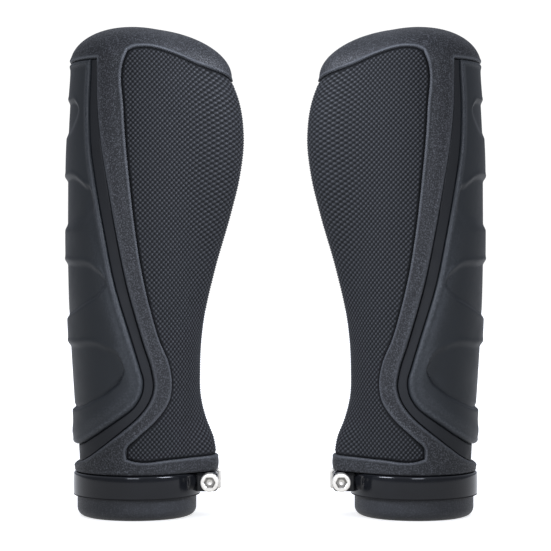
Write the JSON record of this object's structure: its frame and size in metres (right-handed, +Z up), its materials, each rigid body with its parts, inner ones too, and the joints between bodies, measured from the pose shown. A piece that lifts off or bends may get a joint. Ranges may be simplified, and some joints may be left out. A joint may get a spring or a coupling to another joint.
{
  "type": "ergonomic handlebar grip pair",
  "caption": "Mirror pair of ergonomic lock-on handlebar grips with knurled palm wing, scalloped finger pad, end cap and a clamp ring tightened by a cap screw.",
  "frame": {"origin": "midway between the two grips, on the surface that they stand on", "axes": "+Z up the handlebar axis towards the grips' outer ends, -Y towards the palm face that the screws are turned from, +X from the right-hand grip to the left-hand grip"},
  "size_m": [0.1146, 0.0378, 0.1326],
  "materials": {
    "core_nylon": "fine moulded grain",
    "under_rubber": "smooth matte",
    "frame_rubber": "matte spark grain",
    "palm_rubber": "fine raised knurl",
    "finger_rubber": "smooth satin",
    "ring_anodised": "gloss black anodised",
    "screw_steel": "bright turned",
    "nut_steel": "bright pressed"
  },
  "bodies": {
    "right_grip": {"right_core_sleeve": "core_nylon", "right_under_layer": "under_rubber", "right_frame_shell": "frame_rubber", "right_palm_pad": "palm_rubber", "right_finger_pad": "finger_rubber", "right_clamp_ring": "ring_anodised"},
    "right_screw": {"right_clamp_screw": "screw_steel"},
    "right_nut": {"right_clamp_nut": "nut_steel"},
    "left_grip": {"left_core_sleeve": "core_nylon", "left_under_layer": "under_rubber", "left_frame_shell": "frame_rubber", "left_palm_pad": "palm_rubber", "left_finger_pad": "finger_rubber", "left_clamp_ring": "ring_anodised"},
    "left_screw": {"left_clamp_screw": "screw_steel"},
    "left_nut": {"left_clamp_nut": "nut_steel"}
  },
  "joints": [
    {"name": "right_screw_turn", "type": "hinge", "parent": "right_grip", "child": "right_screw", "pos_m": [-0.0178, 0, 0.0094], "axis": [0, -1, 0], "range_deg": [0, 1080]},
    {"name": "right_nut_travel", "type": "slide", "parent": "right_grip", "child": "right_nut", "axis": [0, 1, 0], "range_m": [0, 0.0015]},
    {"name": "pair_spread", "type": "slide", "parent": "right_grip", "child": "left_grip", "axis": [1, 0, 0], "range_m": [0, 0.12]},
    {"name": "left_screw_turn", "type": "hinge", "parent": "left_grip", "child": "left_screw", "pos_m": [0.0178, 0, 0.0094], "axis": [0, -1, 0], "range_deg": [0, 1080]},
    {"name": "left_nut_travel", "type": "slide", "parent": "left_grip", "child": "left_nut", "axis": [0, 1, 0], "range_m": [0, 0.0015]}
  ],
  "couplings": [
    {"joint": "right_screw_turn", "follows": "right_nut_travel", "rad_per_m": 12566},
    {"joint": "left_screw_turn", "follows": "left_nut_travel", "rad_per_m": 12566}
  ]
}
